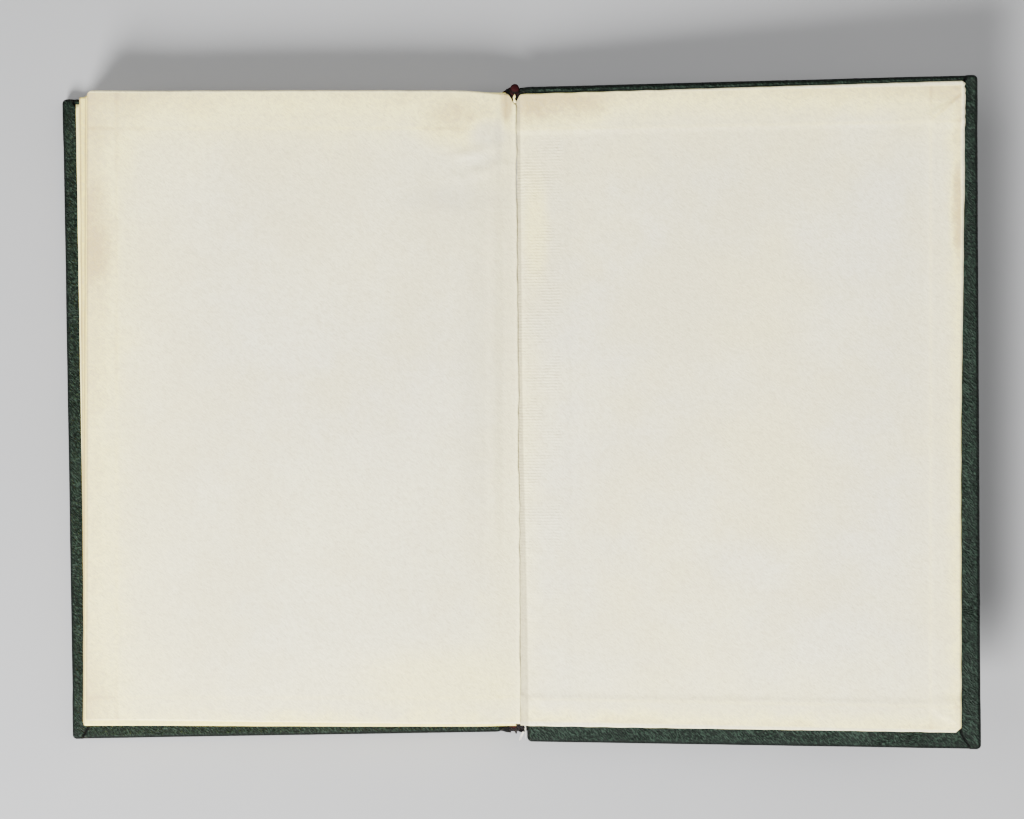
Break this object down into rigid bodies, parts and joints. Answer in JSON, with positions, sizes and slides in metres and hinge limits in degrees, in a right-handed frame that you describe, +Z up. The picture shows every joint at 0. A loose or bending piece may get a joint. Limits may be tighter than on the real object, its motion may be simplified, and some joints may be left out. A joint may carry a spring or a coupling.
{
  "type": "pilot logbook",
  "caption": "Case-bound pilot logbook lying open at its back cover, with sewn sections, leaves that turn and covers that open and close.",
  "frame": {"origin": "centre of the face that the front cover rests on", "axes": "+X from the front cover across the spine to the back cover, +Y from tail to head, +Z up off the table"},
  "size_m": [0.3017, 0.2184, 0.0249],
  "materials": {
    "cover_cloth": "dark green grained leathercloth, slight sheen",
    "joint_cloth": "dark brown woven joint and spine cloth",
    "greyboard": "raw grey binder's board",
    "endpaper": "cream uncoated endpaper, toned at the edges",
    "page_paper": "cream uncoated page paper, yellowed edges",
    "mull": "open starched gauze",
    "kraft_lining": "brown kraft spine lining",
    "thread": "white linen sewing thread",
    "band": "maroon woven end band"
  },
  "bodies": {
    "text_block": {"section_5": "page_paper", "section_6": "page_paper", "section_7": "page_paper", "section_8": "page_paper", "sewing_thread": "thread", "mull": "mull", "spine_lining": "kraft_lining", "headband": "band", "tailband": "band", "spine_card": "greyboard", "spine_cloth": "joint_cloth"},
    "section_1": {"section_1": "page_paper"},
    "section_2": {"section_2": "page_paper"},
    "section_3": {"section_3": "page_paper"},
    "section_4": {"section_4": "page_paper"},
    "front_flyleaf": {"front_flyleaf": "endpaper"},
    "front_cover": {"front_board": "greyboard", "front_cover_cloth": "cover_cloth", "front_joint_cloth": "joint_cloth", "front_mull_wing": "mull", "front_pastedown": "endpaper"},
    "last_leaf_lower": {"last_leaf_lower": "page_paper"},
    "last_leaf_upper": {"last_leaf_upper": "page_paper"},
    "back_flyleaf": {"back_flyleaf": "endpaper"},
    "back_cover": {"back_board": "greyboard", "back_cover_cloth": "cover_cloth", "back_joint_cloth": "joint_cloth", "back_mull_wing": "mull", "back_pastedown": "endpaper"}
  },
  "joints": [
    {"name": "back_cover_hinge", "type": "hinge", "parent": "text_block", "child": "back_cover", "pos_m": [0.0797, 0.0009, 0.01305], "axis": [0, -1, 0], "range_deg": [-8, 175]},
    {"name": "back_flyleaf_turn", "type": "hinge", "parent": "text_block", "child": "back_flyleaf", "pos_m": [0.0797, 0.0009, 0.01305], "axis": [0, -1, 0], "range_deg": [-172, 0]},
    {"name": "last_leaf_upper_turn", "type": "hinge", "parent": "text_block", "child": "last_leaf_upper", "pos_m": [0.0797, 0.0009, 0.01305], "axis": [0, -1, 0], "range_deg": [-167, 0]},
    {"name": "last_leaf_lower_turn", "type": "hinge", "parent": "text_block", "child": "last_leaf_lower", "pos_m": [0.0797, 0.0009, 0.01305], "axis": [0, -1, 0], "range_deg": [-162, 0]},
    {"name": "front_sections_turn", "type": "hinge", "parent": "text_block", "child": "section_1", "pos_m": [0.0772, 0, 0.00317], "axis": [0, 1, 0], "range_deg": [-170, 0]},
    {"name": "section_2_turn", "type": "hinge", "parent": "text_block", "child": "section_2", "pos_m": [0.0772, 0, 0.00317], "axis": [0, 1, 0], "range_deg": [-165, 0]},
    {"name": "section_3_turn", "type": "hinge", "parent": "text_block", "child": "section_3", "pos_m": [0.0772, 0, 0.00317], "axis": [0, 1, 0], "range_deg": [-160, 0]},
    {"name": "section_4_turn", "type": "hinge", "parent": "text_block", "child": "section_4", "pos_m": [0.0772, 0, 0.00317], "axis": [0, 1, 0], "range_deg": [-155, 0]},
    {"name": "front_flyleaf_turn", "type": "hinge", "parent": "section_1", "child": "front_flyleaf", "pos_m": [0.0772, 0, 0.00317], "axis": [0, -1, 0], "range_deg": [0, 60]},
    {"name": "front_cover_hinge", "type": "hinge", "parent": "front_flyleaf", "child": "front_cover", "pos_m": [0.0772, 0, 0.00317], "axis": [0, -1, 0], "range_deg": [0, 115]}
  ],
  "couplings": [
    {"joint": "last_leaf_upper_turn", "follows": "back_flyleaf_turn", "ratio": 0.97},
    {"joint": "last_leaf_lower_turn", "follows": "back_flyleaf_turn", "ratio": 0.94},
    {"joint": "section_2_turn", "follows": "front_sections_turn", "ratio": 0.97},
    {"joint": "section_3_turn", "follows": "front_sections_turn", "ratio": 0.94},
    {"joint": "section_4_turn", "follows": "front_sections_turn", "ratio": 0.91}
  ]
}
